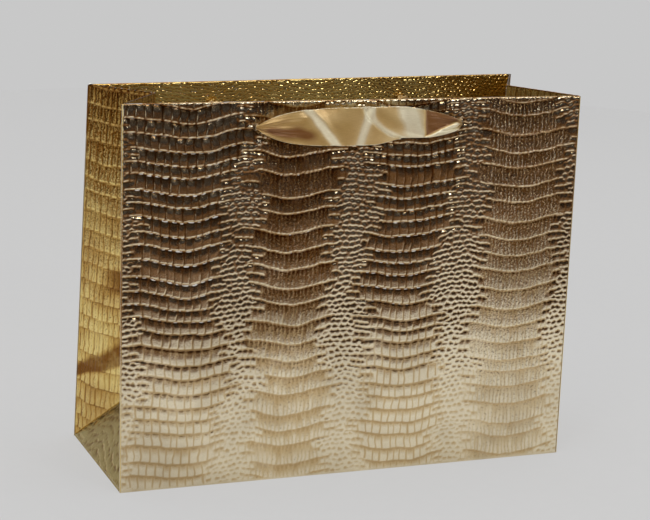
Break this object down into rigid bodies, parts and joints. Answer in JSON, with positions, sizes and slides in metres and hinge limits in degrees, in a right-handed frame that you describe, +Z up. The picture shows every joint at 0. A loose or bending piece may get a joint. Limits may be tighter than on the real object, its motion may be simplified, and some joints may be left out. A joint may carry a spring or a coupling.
{
  "type": "gift bag",
  "caption": "Wide gift bag folded from embossed metallic paper, with gusseted ends, a flat glued base and a short satin ribbon handle on each wide panel.",
  "frame": {"origin": "middle of the base, on the face that the bag stands on", "axes": "+X along the wide panels, the front panel faces -Y, +Z up towards the mouth"},
  "size_m": [0.32, 0.1396, 0.256],
  "materials": {
    "embossed_foil_paper": "metallic gold foil embossed with reptile scales outside, white paper inside",
    "grey_board": "uncoated grey board",
    "satin_ribbon": "double-faced satin"
  },
  "bodies": {
    "base": {"left_gusset_front_half": "embossed_foil_paper", "left_gusset_front_hem": "embossed_foil_paper", "left_gusset_rear_half": "embossed_foil_paper", "left_gusset_rear_hem": "embossed_foil_paper", "right_gusset_front_half": "embossed_foil_paper", "right_gusset_front_hem": "embossed_foil_paper", "right_gusset_rear_half": "embossed_foil_paper", "right_gusset_rear_hem": "embossed_foil_paper", "left_base_triangle": "embossed_foil_paper", "right_base_triangle": "embossed_foil_paper", "side_seam_flap": "embossed_foil_paper", "base_back_flap": "embossed_foil_paper", "base_front_flap": "embossed_foil_paper", "base_left_flap": "embossed_foil_paper", "base_right_flap": "embossed_foil_paper", "base_board": "grey_board"},
    "front_wall": {"front_panel": "embossed_foil_paper", "front_reinforcement_strip": "grey_board", "front_top_hem": "embossed_foil_paper", "front_left_knot": "satin_ribbon", "front_right_knot": "satin_ribbon"},
    "back_wall": {"back_panel": "embossed_foil_paper", "back_reinforcement_strip": "grey_board", "back_top_hem": "embossed_foil_paper", "back_left_knot": "satin_ribbon", "back_right_knot": "satin_ribbon"},
    "front_handle": {"front_ribbon_handle": "satin_ribbon"},
    "back_handle": {"back_ribbon_handle": "satin_ribbon"}
  },
  "joints": [
    {"name": "front_wall_fold", "type": "hinge", "parent": "base", "child": "front_wall", "pos_m": [0, -0.0625, 0], "axis": [-1, 0, 0], "range_deg": [0, 8], "deforming": ["left_gusset_front_half", "left_gusset_front_hem", "right_gusset_front_half", "right_gusset_front_hem"]},
    {"name": "back_wall_fold", "type": "hinge", "parent": "base", "child": "back_wall", "pos_m": [0, 0.0625, 0], "axis": [1, 0, 0], "range_deg": [-5.5, 8], "deforming": ["left_gusset_rear_half", "left_gusset_rear_hem", "right_gusset_rear_half", "right_gusset_rear_hem", "side_seam_flap"]},
    {"name": "front_handle_swing", "type": "hinge", "parent": "front_wall", "child": "front_handle", "pos_m": [0, -0.06086, 0.2395], "axis": [-0.9998, 0.0219, 0], "range_deg": [0, 45]},
    {"name": "back_handle_swing", "type": "hinge", "parent": "back_wall", "child": "back_handle", "pos_m": [0, 0.03911, 0.2395], "axis": [0.9992, 0.0409, 0], "range_deg": [0, 45]}
  ]
}
